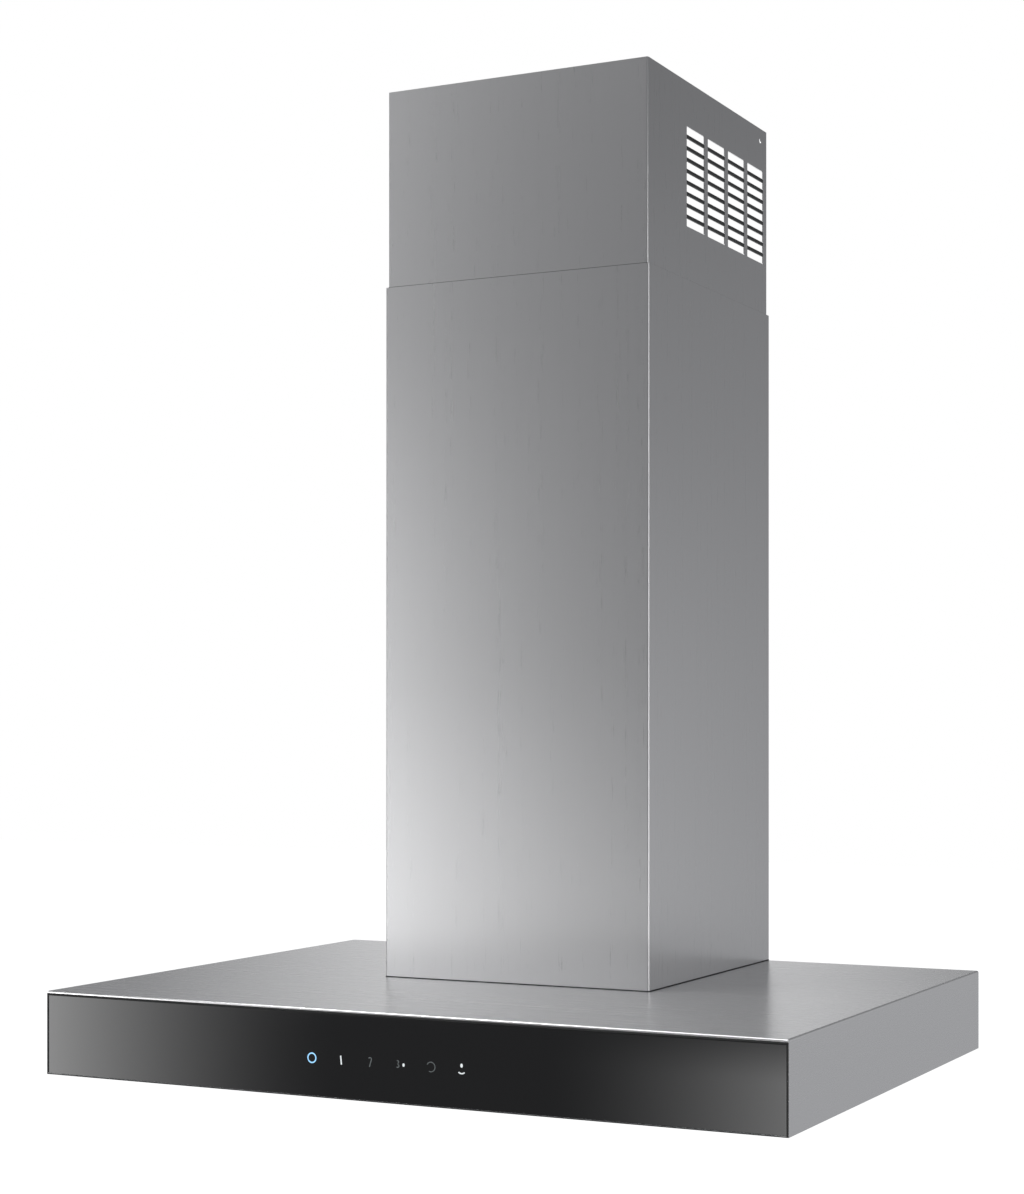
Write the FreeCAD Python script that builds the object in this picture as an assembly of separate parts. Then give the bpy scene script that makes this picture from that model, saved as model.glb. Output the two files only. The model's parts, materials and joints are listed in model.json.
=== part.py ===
import FreeCAD, Part
import math
import os

# Wall-mounted range hood with a flat canopy and a two-part telescopic chimney.
# Millimetres. The origin is on the wall, on the centre line, at the canopy's lower edge.
# +Z is up, +X is to the right as one faces the hood, and the front looks along -Y.

V = FreeCAD.Vector
X_AXIS = V(1, 0, 0)
Y_AXIS = V(0, 1, 0)
Z_AXIS = V(0, 0, 1)

# ---- driving dimensions: overall ----
canopy_width = 750.0
canopy_depth = 540.0
canopy_height = 79.0
chimney_width = 289.0
chimney_depth = 306.0
lower_cover_height = 687.0
upper_cover_length = 500.0
upper_cover_rise = 195.0      # how far the upper cover stands out of the lower one as stored

# ---- sheet metal ----
sheet = 1.0                   # stainless sheet, also the galvanised box
fold_outer = 2.0              # outside radius of a fold
slide_gap = 1.0               # between the two covers, each side
cover_return = 10.0           # inward flange on the covers' rear edges
weld_gap = 0.2                # between a cover and the frame that locates it

# ---- canopy underside ----
border = 12.0                 # width of the folded border
recess = 9.0                  # the bottom panel sits this far above the lower edge
lip = 3.5                     # the top sheet turns down in front by this much
part_gap = 1.0                # loose gap around fitted panels

# ---- screws ----
screw_r = 2.0
screw_hole_r = 2.1
screw_head_r = 3.8
screw_head = 2.2
panel_head_r = 4.0
panel_head = 1.8

# ---- glass front ----
glass_thick = 4.0
glass_gap = 0.7               # between the glass and the canopy's sides
tape_thick = 1.0
tape_width = 8.0
icon_count = 6
icon_pitch = 30.5
icon_first = -78.0
icon_height = 34.8
icon_size = 9.5
icon_line = 1.2
print_thick = 0.1
film_thick = 0.3
pipe_r = 3.5
pipe_hole_r = 6.0
guide_thick = 2.0
guide_height = 30.0
led_gap = 2.0
board_thick = 1.6
touch_board_height = 45.0

# ---- bottom panel and filters ----
front_strip = 115.0           # canopy front to the filter openings
rear_strip = 45.0             # wall to the filter openings
side_strip = 30.0
middle_strip = 14.0
filter_gap = 2.0
hinge_gap = 1.5               # from the hinge axis to the opening's edge, and to the filter
hinge_lift = 0.5              # the tabs clear the panel by this much
filter_drop = 6.5             # filter's lower face below the hinge axis
filter_thick = 11.0
filter_flange = 12.0
latch_rail = 50.0             # depth of the filter's front rail, which holds the latch
tab_width = 30.0
tab_reach = 8.0
tab_thick = 1.2
baffle_pitch = 30.0           # wished for; the rows are then spread evenly across the window
baffle_width = 22.0
baffle_cap_width = 16.0
baffle_sheet = 0.8
baffle_leg = 4.0
latch_travel = 6.0
latch_width = 36.0
latch_gap = 0.3
tongue_width = 20.0
tongue_reach = 1.5
grip_width = 24.0
spring_wire = 0.5
spring_radius = 2.2
spring_turns = 6

# ---- lamps ----
lamp_side = 125.0             # canopy's side to a lamp's centre
lamp_r = 32.5
lamp_hole_gap = 0.5
bezel_flange = 5.5
window_rim = 5.5
lamp_height = 20.0
lamp_wall = 1.5
fin_count = 7
led_count = 8
led_in = 14.5                 # lamp's edge to its ring of LEDs
lead_r = 2.2

# ---- blower ----
blower_clear = 2.5            # from the upper cover's rear flange to the blower box
blower_front_clear = 13.0
blower_height = 321.0
lid_thick = 1.2
lid_rim = 9.0                 # inward flange that the lid is screwed to
box_flange = 11.0
impeller_r = 75.0
impeller_half = 44.0
blade_depth = 13.0
blade_count = 36
blade_angle = 28.0
impeller_lift = 143.0         # canopy's top to the impeller's axis
scroll_clear = 13.0           # impeller to the scroll's first quarter
scroll_step = 12.0            # each later quarter is this much larger
scroll_front_gap = 8.0        # scroll to the box's front wall
scroll_half = 48.0            # inside, from the centre plane to a side wall
scroll_wall = 2.0
tongue_degrees = 75.0         # where the scroll leaves the spiral for the mouth
rim_thick = 3.0
rim_margin = 12.0
rim_out = 15.0                # collar's flange to the side edge of the scroll's mounting rim
rim_rear_share = 0.18         # of the space behind the mouth, which the rim covers
inlet_gap = 0.5
arm_degrees = (60, 180, 300)
arm_margin = 11.0             # impeller's edge to the circle of the motor's mounts
shaft_r = 4.0
bearing_clear = 0.05
bearing_r = 8.0
bearing_length = 6.0
motor_r = 40.0
motor_wall = 1.5
rotor_r = 20.3
air_gap = 0.3
motor_back = -58.0            # end cap's inner face
motor_nose = -8.0
motor_lead_side = 35.0        # box's side to the motor's lead
motor_lead_r = 2.8
capacitor_r = 16.0
capacitor_side = 32.0         # box's side to the capacitor's axis
capacitor_out = 24.0          # wall to the capacitor's axis
capacitor_lift = 101.0        # canopy's top to the capacitor's foot
capacitor_height = 66.0

# ---- outlet ----
duct_r = 75.0
collar_wall = 1.5
collar_height = 80.0
collar_flange = 10.0
flap_gap = 2.0                # between the collar and a flap's edge
flap_thick = 1.2
flap_lift = 10.8              # spindle height above the lid
spindle_r = 1.5
spindle_offset = 5.0
spindle_clear = 0.1

# ---- junction box ----
junction_half = 75.0
junction_depth = 52.0
junction_height = 38.0
junction_wall = 2.0
junction_margin = 3.0         # from the blower box's front
junction_gap = 10.0           # to the collar's flange
gland_x = -45.0
gland_bore_r = 5.0
gland_body_r = 8.0

# ---- wall and bracket holes ----
wall_hole_r = 4.25
wall_hole_side = 20.0         # box's side to a wall hole
wall_hole_up = 21.0           # canopy's top to the lower wall holes
wall_hole_down = 30.0         # box's top to the upper wall holes
bracket_hole_r = 2.5
bracket_hole_in = 17.5        # from the upper cover's rear edge
bracket_hole_down = 13.0

# ---- slots in the upper cover ----
slot_columns = 4
slot_rows = 9
slot_length = 44.0
slot_height = 8.4
slot_pitch_y = 52.5
slot_pitch_z = 11.2
slot_rear = 9.5               # rear edge to the first column
slot_top_down = 44.0          # top edge to the highest row
slot_corner = 1.0
flange_relief = 160.0         # the rear flange is cut away behind the slots

# ---- worked out from the above ----
half_width = canopy_width / 2
fold_inner = fold_outer - sheet
canopy_under_top = canopy_height - sheet
glass_back = -canopy_depth + glass_thick
carrier_front = glass_back + tape_thick
carrier_back = carrier_front + sheet
panel_front = carrier_back + part_gap
panel_top = recess + sheet
lower_half = chimney_width / 2
upper_half = lower_half - sheet - slide_gap
upper_front = -chimney_depth + sheet + slide_gap
upper_back = -sheet - slide_gap
chimney_base = canopy_height
lower_top = chimney_base + lower_cover_height
upper_top = lower_top + upper_cover_rise
upper_bottom = upper_top - upper_cover_length
blower_half = upper_half - cover_return - blower_clear
blower_front = upper_front + sheet + blower_front_clear
box_top = canopy_height + blower_height
lid_top = box_top + lid_thick
opening_front = -canopy_depth + front_strip
opening_rear = -rear_strip
opening_width = (canopy_width - 2 * side_strip - middle_strip) / 2
opening_centre = (middle_strip + opening_width) / 2
hinge_y = opening_rear - hinge_gap
hinge_z = panel_top + hinge_lift
filter_front = opening_front + filter_gap
filter_rear = hinge_y - hinge_gap
filter_half = opening_width / 2 - filter_gap
filter_low = hinge_z - filter_drop
filter_high = filter_low + filter_thick
lamp_x = half_width - lamp_side
lamp_y = (panel_front + opening_front) / 2
lamp_hole_r = lamp_r + lamp_hole_gap
bezel_r = lamp_r + bezel_flange
lamp_window_r = lamp_r - window_rim
fin_pitch = 2 * lamp_window_r / (fin_count - 1)
scroll_outer = scroll_half + scroll_wall
scroll_first_r = impeller_r + scroll_clear
blade_inner_r = impeller_r - blade_depth
inlet_r = blade_inner_r + inlet_gap
impeller_axis_y = blower_front + sheet + scroll_front_gap + scroll_wall + scroll_first_r + scroll_step / 2
impeller_axis_z = canopy_height + impeller_lift
mount_circle = impeller_r + arm_margin
mouth_rim_x = duct_r + collar_flange + rim_out
motor_lead_x = motor_lead_side - blower_half
wall_hole_x = blower_half - wall_hole_side
wall_holes_z = (canopy_height + wall_hole_up, box_top - wall_hole_down)
junction_front = blower_front + junction_margin
junction_rear = junction_front + junction_depth
junction_top = lid_top + junction_height
gland_y = (junction_front + junction_rear) / 2
collar_y = junction_rear + junction_gap + collar_flange + duct_r
collar_inner = duct_r - collar_wall
flap_r = collar_inner - flap_gap
flap_z = lid_top + flap_lift


def box(x0, x1, y0, y1, z0, z1):
    return Part.makeBox(x1 - x0, y1 - y0, z1 - z0, V(x0, y0, z0))


def rod(centre, radius, length, axis=Z_AXIS):
    return Part.makeCylinder(radius, length, V(*centre), axis)


def ring(centre, outer, inner, length, axis=Z_AXIS):
    return rod(centre, outer, length, axis).cut(rod(centre, inner, length, axis))


def fuse(shapes):
    first = shapes[0]
    if len(shapes) == 1:
        return first
    return first.multiFuse(shapes[1:]).removeSplitter()


def mirror_x(shape):
    return shape.mirror(V(0, 0, 0), X_AXIS)


def edges_where(shape, test):
    return [edge for edge in shape.Edges if test(edge.BoundBox)]


def screw(centre, radius, length, head_r, head_height, axis):
    # centre is under the head, and axis points from there to the tip
    back = V(*centre) - V(axis.x * head_height, axis.y * head_height, axis.z * head_height)
    head = Part.makeCylinder(head_r, head_height, back, axis)
    shank = Part.makeCylinder(radius, length, V(*centre), axis)
    return head.fuse(shank).removeSplitter()


def lead(points, radius):
    # a round cable along straight runs joined by tangent arcs
    corners = [V(*point) for point in points]
    edges = []
    start = corners[0]
    for before, corner, after in zip(corners, corners[1:], corners[2:]):
        incoming = (corner - before).normalize()
        outgoing = (after - corner).normalize()
        turn = math.acos(max(-1.0, min(1.0, incoming.dot(outgoing))))
        run = min((corner - before).Length, (after - corner).Length)
        back = 0.45 * run
        first = corner - incoming * back
        last = corner + outgoing * back
        bend = back / math.tan(turn / 2)
        bisector = (outgoing - incoming).normalize()
        centre = corner + bisector * math.hypot(back, bend)
        middle = centre - bisector * bend
        edges.append(Part.LineSegment(start, first).toShape())
        edges.append(Part.Arc(first, middle, last).toShape())
        start = last
    edges.append(Part.LineSegment(start, corners[-1]).toShape())
    path = Part.Wire(edges)
    section = Part.Wire([Part.Circle(corners[0], corners[1] - corners[0], radius).toShape()])
    solid = path.makePipeShell([section], True, False)
    print("lead", round(solid.Volume / (math.pi * radius ** 2 * path.Length), 4), round(path.Length, 1))
    return solid


parts = {}


def keep(name, *solids):
    parts[name] = solids[0] if len(solids) == 1 else Part.makeCompound(list(solids))


# ---- canopy shell ----
def folded_box(x, y0, y1, z0, z1, radius):
    body = box(-x, x, y0, y1, z0, z1)
    top = edges_where(body, lambda b: b.ZMin > z1 - 0.01)
    rear = edges_where(body, lambda b: b.YMin > y1 - 0.01 and b.ZLength > 1 and b.XLength < 0.01)
    return body.makeFillet(radius, top + rear)


def blower_screw_places():
    side_x = blower_half + box_flange / 2
    front_y = blower_front - box_flange / 2
    rear_y = -50.0
    middle_y = (blower_front + rear_y) / 2
    places = [(side * side_x, y) for side in (-1, 1) for y in (blower_front + 30, middle_y, rear_y)]
    return places + [(-0.6 * blower_half, front_y), (0.6 * blower_half, front_y)]


def make_canopy_shell():
    outer = folded_box(half_width, -canopy_depth, 0, 0, canopy_height, fold_outer)
    inner = folded_box(half_width - sheet, -canopy_depth + sheet, -sheet, sheet, canopy_under_top,
                       fold_inner)
    shell = outer.cut(inner)
    inside = half_width - sheet
    window = box(-inside, inside, -canopy_depth - 1, -canopy_depth + sheet + 1, -1,
                 canopy_height - lip)
    border_x = half_width - border
    floor = box(-border_x, border_x, -canopy_depth - 1, -border, -1, sheet + 0.5)
    corner_relief = box(-inside, inside, -canopy_depth - 1, panel_front, -1, sheet + 0.5)
    air_x = blower_half - box_flange
    air = box(-air_x, air_x, blower_front + box_flange, -box_flange, canopy_under_top - 1,
              canopy_height + 1)
    shell = shell.cut(window).cut(floor).cut(corner_relief).cut(air)
    for x, y in blower_screw_places():
        shell = shell.cut(rod((x, y, canopy_under_top - 1), screw_hole_r, sheet + 2))
    lips = [box(side_x, side_x + sheet, panel_front, -border + sheet, 0, recess)
            for side_x in (-border_x - sheet, border_x)]
    lips.append(box(-border_x, border_x, -border, -border + sheet, 0, recess))
    return fuse([shell] + lips)


keep("canopy_shell", make_canopy_shell())


# ---- glass front and what is behind it ----
def icon_places():
    return [icon_first + i * icon_pitch for i in range(icon_count)]


glass_half = half_width - sheet - glass_gap
glass_top = canopy_height - lip - 0.5
glass_low = sheet


def make_front_glass():
    glass = box(-glass_half, glass_half, -canopy_depth, glass_back, glass_low, glass_top)
    front = edges_where(glass, lambda b: b.YMax < -canopy_depth + 0.01)
    return glass.makeFillet(0.6, front)


def make_glass_carrier():
    x = half_width - sheet - 1.5
    plate = box(-x, x, carrier_front, carrier_back, 0, canopy_under_top)
    top_flange = box(-x, x, carrier_front, carrier_front + 15, canopy_under_top - sheet,
                     canopy_under_top)
    border_x = half_width - border - 0.5
    low_x = half_width - border - sheet - 1
    low_flange = box(-low_x, low_x, carrier_front, carrier_front + border, 0, sheet)
    low_lip = box(-low_x, low_x, carrier_front + border - sheet, carrier_front + border, 0, recess)
    sides = [box(side * (x + border_x) / 2 - (x - border_x) / 2 - 1,
                 side * (x + border_x) / 2 + (x - border_x) / 2 + 1,
                 carrier_front - 1, carrier_back + 1, -1, sheet + 0.3) for side in (-1, 1)]
    carrier = fuse([plate, top_flange, low_flange, low_lip])
    for side in sides:
        carrier = carrier.cut(side)
    for x in icon_places():
        carrier = carrier.cut(rod((x, carrier_front - 1, icon_height), pipe_hole_r, sheet + 2, Y_AXIS))
    return carrier


def make_key_icons():
    front = -canopy_depth - print_thick
    line = icon_line
    icons = []
    for i, x in enumerate(icon_places()):
        if i in (0, 4):
            icon = ring((x, front, icon_height), icon_size / 2, icon_size / 2 - line, print_thick, Y_AXIS)
        else:
            height = icon_size * (0.6, 0.6, 0.45, 0.75)[(i - 1) % 4]
            icon = box(x - line / 2, x + line / 2, front, front + print_thick,
                       icon_height - height / 2, icon_height + height / 2)
        icons.append(icon)
    return icons


field_low = icon_places()[0] - 18
field_high = icon_places()[-1] + 18
guide_front = carrier_back
board_front = guide_front + guide_thick + led_gap
board_back = board_front + board_thick
board_low = icon_height - 20
board_high = board_low + touch_board_height


def make_icon_light_guide():
    pieces = [box(field_low + 6, field_high - 6, guide_front, guide_front + guide_thick,
                  icon_height - guide_height / 2, icon_height + guide_height / 2)]
    for x in icon_places():
        pieces.append(rod((x, glass_back, icon_height), pipe_r, guide_front - glass_back + 0.5, Y_AXIS))
    for x in (field_low + 10, field_high - 10):
        for z in (icon_height - guide_height / 2 + 4, icon_height + guide_height / 2 - 4):
            pieces.append(rod((x, guide_front + guide_thick - 0.5, z), 2, led_gap + 0.5, Y_AXIS))
    return fuse(pieces)


def make_touch_film():
    film = box(field_low, field_high, glass_back, glass_back + film_thick,
               tape_width + 4, board_high - 2)
    for x in icon_places():
        film = film.cut(rod((x, glass_back - 1, icon_height), pipe_r + 0.2, film_thick + 2, Y_AXIS))
    return film


ribbon_z = board_high - 8


def make_touch_board():
    pieces = [box(field_low, field_high, board_front, board_back, board_low, board_high)]
    for x in icon_places():
        pieces.append(box(x - 1.4, x + 1.4, board_front - 1.5, board_front, icon_height - 1.4,
                          icon_height + 1.4))
    pieces.append(box(-40, -28, board_back, board_back + 1.4, icon_height - 6, icon_height + 6))
    pieces.append(box(-9, 9, board_back, board_back + 5, ribbon_z - 3, ribbon_z + 3))
    return fuse(pieces)


keep("front_glass", make_front_glass())
keep("glass_tape",
     box(-glass_half + 8, glass_half - 8, glass_back, carrier_front, glass_low + 1,
         glass_low + 1 + tape_width),
     box(-glass_half + 8, glass_half - 8, glass_back, carrier_front, glass_top - 1 - tape_width,
         glass_top - 1))
keep("glass_carrier", make_glass_carrier())
keep("key_icons", *make_key_icons())
keep("touch_film", make_touch_film())
keep("icon_light_guide", make_icon_light_guide())
keep("touch_board", make_touch_board())

# ---- control box behind the touch board ----
control_half = 105.0
control_front = board_back + 16
control_rear = opening_front - 16
control_low = 30.0
control_wall = 2.0
power_board_z = control_low + 30
lead_entry_z = control_low + 20


def control_post_places():
    return [(x, y) for x in (-control_half + 20, control_half - 20)
            for y in (control_front + 14, control_rear - 14)]


def make_control_box():
    outer = box(-control_half, control_half, control_front, control_rear, control_low, canopy_under_top)
    inner = box(-control_half + control_wall, control_half - control_wall,
                control_front + control_wall, control_rear - control_wall,
                control_low - 1, canopy_under_top - control_wall)
    body = outer.cut(inner)
    body = body.cut(box(-9, 9, control_front - 1, control_front + control_wall + 1,
                        ribbon_z - 1.5, ribbon_z + 1.5))
    for side in (-1, 1):
        body = body.cut(rod((side * (control_half - 5), lamp_y, lead_entry_z), 3, 8, X_AXIS * side))
    body = body.cut(rod((motor_lead_x, control_rear - 5, lead_entry_z), 3.4, 8, Y_AXIS))
    posts = [rod((x, y, power_board_z + board_thick), 3.5,
                 canopy_under_top - control_wall - power_board_z - board_thick)
             for x, y in control_post_places()]
    return fuse([body] + posts)


def make_power_board():
    rear = control_rear - 10
    front = control_front + 10
    z = power_board_z
    pieces = [box(-control_half + 12, control_half - 12, front, rear, z, z + board_thick)]
    pieces.append(box(30, 62, front + 8, front + 36, z - 22, z))
    for i in range(3):
        x = -70 + i * 22
        pieces.append(box(x, x + 17, rear - 24, rear - 8, z - 15, z))
    for i in range(2):
        pieces.append(rod((-30 + i * 16, front + 16, z - 12), 5, 12.5))
    pieces.append(box(-9, 9, front + 2, front + 10, ribbon_z - 4, z))
    return fuse(pieces)


keep("control_box", make_control_box())
keep("control_box_cover", box(-control_half, control_half, control_front, control_rear,
                              control_low - control_wall, control_low))
keep("power_board", make_power_board())
keep("touch_ribbon", box(-7, 7, board_back + 5, control_front + 12, ribbon_z - 0.2, ribbon_z + 0.2))


# ---- bottom panel ----
def panel_screw_places():
    x = half_width - border - 7
    return [(side * x, y) for side in (-1, 1)
            for y in (panel_front + 28, (opening_front + opening_rear) / 2, opening_rear / 2 - 5)]


def make_bottom_panel():
    x = half_width - sheet - part_gap
    panel = box(-x, x, panel_front, -sheet - part_gap, recess, panel_top)
    for side in (-1, 1):
        centre = side * opening_centre
        window = box(centre - opening_width / 2, centre + opening_width / 2, opening_front,
                     opening_rear, recess - 1, panel_top + 1)
        corners = edges_where(window, lambda b: b.ZLength > 1)
        panel = panel.cut(window.makeFillet(1.5, corners))
        panel = panel.cut(rod((side * lamp_x, lamp_y, recess - 1), lamp_hole_r, sheet + 2))
    for x, y in panel_screw_places():
        panel = panel.cut(rod((x, y, recess - 1), screw_hole_r, sheet + 2))
    return panel


def make_panel_bracket(x, y):
    side = 1 if x > 0 else -1
    wall = side * (half_width - sheet)
    inner = x - side * 6
    plate = box(min(inner, wall), max(inner, wall), y - 10, y + 10, panel_top, panel_top + 1.2)
    upright = box(min(wall, wall - side * 1.2), max(wall, wall - side * 1.2), y - 10, y + 10,
                  panel_top, panel_top + 16)
    bracket = plate.fuse(upright).removeSplitter()
    return bracket.cut(rod((x, y, panel_top - 1), screw_hole_r, 4))


keep("bottom_panel", make_bottom_panel())
keep("panel_brackets", *[make_panel_bracket(x, y) for x, y in panel_screw_places()])
keep("panel_screws", *[screw((x, y, recess), screw_r, 7, panel_head_r, panel_head, Z_AXIS)
                       for x, y in panel_screw_places()])


# ---- grease filters: made about x = 0, then moved to each side ----
latch_y0 = filter_front + 8
latch_y1 = filter_front + 26
latch_low = filter_low + sheet + latch_gap
latch_high = latch_low + 4
tongue_low = panel_top + 0.6
tongue_high = tongue_low + 1.8
grip_y0 = filter_front + 15
grip_y1 = filter_front + 19
stop_y = filter_front + 40
baffle_front = filter_front + latch_rail - 6
baffle_rear = filter_rear - sheet
filter_floor = filter_low + sheet
filter_ceiling = filter_high - sheet


def make_filter_frame():
    body = box(-filter_half, filter_half, filter_front, filter_rear, filter_low, filter_high)
    body = body.makeFillet(1.2, edges_where(body, lambda b: b.ZLength > 1))
    hollow = box(-filter_half + sheet, filter_half - sheet, filter_front + sheet,
                 filter_rear - sheet, filter_floor, filter_ceiling)
    window = box(-filter_half + filter_flange, filter_half - filter_flange,
                 filter_front + latch_rail, filter_rear - filter_flange,
                 filter_low - 1, filter_high + 1)
    window = window.makeFillet(4, edges_where(window, lambda b: b.ZLength > 1))
    body = body.cut(hollow).cut(window)
    tongue_x = tongue_width / 2 + 0.4
    body = body.cut(box(-tongue_x, tongue_x, filter_front - 1, filter_front + sheet + 1,
                        tongue_low - latch_gap, tongue_high + latch_gap))
    grip_x = grip_width / 2 + 0.4
    body = body.cut(box(-grip_x, grip_x, grip_y0 - 0.4, grip_y1 + latch_travel + 0.4,
                        filter_low - 1, filter_floor + 1))
    extras = []
    for side in (-1, 1):
        centre = side * filter_half * 0.6
        extras.append(box(centre - tab_width / 2, centre + tab_width / 2, filter_rear - 0.5,
                          hinge_y + tab_reach, hinge_z, hinge_z + tab_thick))
        rail = side * (latch_width / 2 + latch_gap + 0.5)
        extras.append(box(rail - 0.5, rail + 0.5, filter_front + 3, filter_front + 36,
                          filter_floor - 0.5, latch_high + 0.6))
    extras.append(box(-6, 6, stop_y, stop_y + 1, filter_floor - 0.5, latch_high + 2))
    return fuse([body] + extras)


def make_baffles():
    span = 2 * (filter_half - filter_flange) + 6 - baffle_width
    count = round(span / baffle_pitch) + 1
    pitch = span / (count - 1)
    first = -span / 2
    t = baffle_sheet
    channels = []
    for i in range(count):
        x = first + i * pitch
        w = baffle_width / 2
        trough = box(x - w, x + w, baffle_front, baffle_rear, filter_floor, filter_floor + baffle_leg)
        channels.append(trough.cut(box(x - w + t, x + w - t, baffle_front - 1, baffle_rear + 1,
                                       filter_floor + t, filter_floor + baffle_leg + 1)))
    for i in range(count - 1):
        x = first + (i + 0.5) * pitch
        w = baffle_cap_width / 2
        cap = box(x - w, x + w, baffle_front, baffle_rear, filter_ceiling - baffle_leg, filter_ceiling)
        channels.append(cap.cut(box(x - w + t, x + w - t, baffle_front - 1, baffle_rear + 1,
                                    filter_ceiling - baffle_leg - 1, filter_ceiling - t)))
    return channels


def make_latch():
    w = latch_width / 2
    slab = box(-w, w, latch_y0, latch_y1, latch_low, latch_high)
    step = box(-tongue_width / 2, tongue_width / 2, latch_y0, latch_y0 + 4, latch_high - 0.5, tongue_high)
    tongue = box(-tongue_width / 2, tongue_width / 2, filter_front - tongue_reach, latch_y0 + 1,
                 tongue_low, tongue_high)
    grip = box(-grip_width / 2, grip_width / 2, grip_y0, grip_y1, filter_low - 2.8, latch_low + 0.5)
    return fuse([slab, step, tongue, grip])


def make_latch_spring():
    length = stop_y - latch_y1
    helix = Part.makeHelix((length - spring_wire) / spring_turns, length - spring_wire, spring_radius)
    start = V(spring_radius, 0, 0)
    section = Part.Wire([Part.Circle(start, Y_AXIS, spring_wire / 2).toShape()])
    coil = Part.Wire(helix.Edges).makePipeShell([section], True, True)
    coil.rotate(V(0, 0, 0), X_AXIS, -90)
    coil.translate(V(0, latch_y1 + spring_wire / 2, (latch_low + latch_high) / 2 + 1))
    return coil


for side, name in ((-1, "left"), (1, "right")):
    place = V(side * opening_centre, 0, 0)
    keep("filter_frame_" + name, make_filter_frame().translated(place))
    keep("filter_baffles_" + name, *[channel.translated(place) for channel in make_baffles()])
    keep("filter_latch_" + name, make_latch().translated(place))
    keep("latch_spring_" + name, make_latch_spring().translated(place))


# ---- lamps: made about the lamp's own centre, then moved to each side ----
lens_top = panel_top + 1.5
board_z = panel_top + 3
spreader_z = board_z + board_thick


def make_lamp_bezel():
    flange = ring((0, 0, recess - 1.8), bezel_r, lamp_window_r, 1.8)
    outer = edges_where(flange, lambda b: b.XLength > 2 * bezel_r - 1 and b.ZMax < recess - 1.7)
    flange = flange.makeFillet(1.0, outer)
    return fuse([flange, ring((0, 0, recess - 0.5), lamp_r, lamp_r - lamp_wall - 0.2, 3.5)])


def make_lamp_lens():
    disc = rod((0, 0, recess), lamp_r - lamp_wall - 0.4, lens_top - recess)
    return fuse([disc, rod((0, 0, recess - 1.2), lamp_window_r - 0.2, 1.7)])


def make_lamp_board():
    pieces = [rod((0, 0, board_z), lamp_r - lamp_wall - 0.2, board_thick)]
    for i in range(led_count):
        turn = math.radians(360 / led_count * i)
        x = (lamp_r - led_in) * math.cos(turn)
        y = (lamp_r - led_in) * math.sin(turn)
        pieces.append(box(x - 1.5, x + 1.5, y - 1.5, y + 1.5, board_z - 0.8, board_z + 0.2))
    return fuse(pieces)


def make_lamp_housing():
    pieces = [rod((0, 0, spreader_z), lamp_r, 3), ring((0, 0, board_z), lamp_r, lamp_r - lamp_wall, 3)]
    column = rod((0, 0, spreader_z + 2.5), lamp_r, lamp_height - 5)
    for i in range(fin_count):
        x = i * fin_pitch - lamp_window_r
        fin = box(x - 0.8, x + 0.8, -lamp_r, lamp_r, spreader_z + 2.5, spreader_z + lamp_height - 5)
        pieces.append(fin.common(column))
    for side in (-1, 1):
        arm_x = side * (lamp_r + 3)
        pieces.append(box(arm_x - 4, arm_x + 4, -5, 5, board_z, board_z + 1.4))
        clip_x = side * (lamp_r + 6.3)
        pieces.append(box(clip_x - 0.7, clip_x + 0.7, -5, 5, panel_top, board_z + 1.4))
    return fuse(pieces)


lead_exit_z = spreader_z + 8
for side, name in ((-1, "left"), (1, "right")):
    place = V(side * lamp_x, lamp_y, 0)
    keep("lamp_bezel_" + name, make_lamp_bezel().translated(place))
    keep("lamp_housing_" + name, make_lamp_housing().translated(place))
keep("lamp_lenses", *[make_lamp_lens().translated(V(side * lamp_x, lamp_y, 0)) for side in (-1, 1)])
keep("lamp_boards", *[make_lamp_board().translated(V(side * lamp_x, lamp_y, 0)) for side in (-1, 1)])


def make_lamp_lead(side):
    start = lamp_x - lamp_window_r - 0.8
    end = control_half - 7
    places = [(start, lead_exit_z), (0.73 * start + 0.27 * end, lead_exit_z),
              (0.41 * start + 0.59 * end, lead_entry_z), (end, lead_entry_z)]
    return lead([(side * x, lamp_y, z) for x, z in places], lead_r)


keep("lamp_leads", make_lamp_lead(-1), make_lamp_lead(1))


# ---- blower box and lid ----
def lid_screw_places():
    x = blower_half - sheet - 4.5
    return [(side * x, y) for side in (-1, 1) for y in (blower_front + 20, collar_y, -20)]


mouth_front = impeller_axis_y + scroll_first_r * math.cos(math.radians(tongue_degrees)) - scroll_step / 2
mouth_rear = impeller_axis_y + scroll_step / 2 + scroll_first_r + 2 * scroll_step
rim_front = mouth_front - rim_margin
rim_rear = mouth_rear + scroll_wall - rim_rear_share * (mouth_rear + scroll_wall + sheet + lid_rim)


def scroll_screw_places():
    return [(side * (mouth_rim_x - 7), y) for side in (-1, 1) for y in (mouth_front + 4, mouth_rear - 4)]


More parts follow.
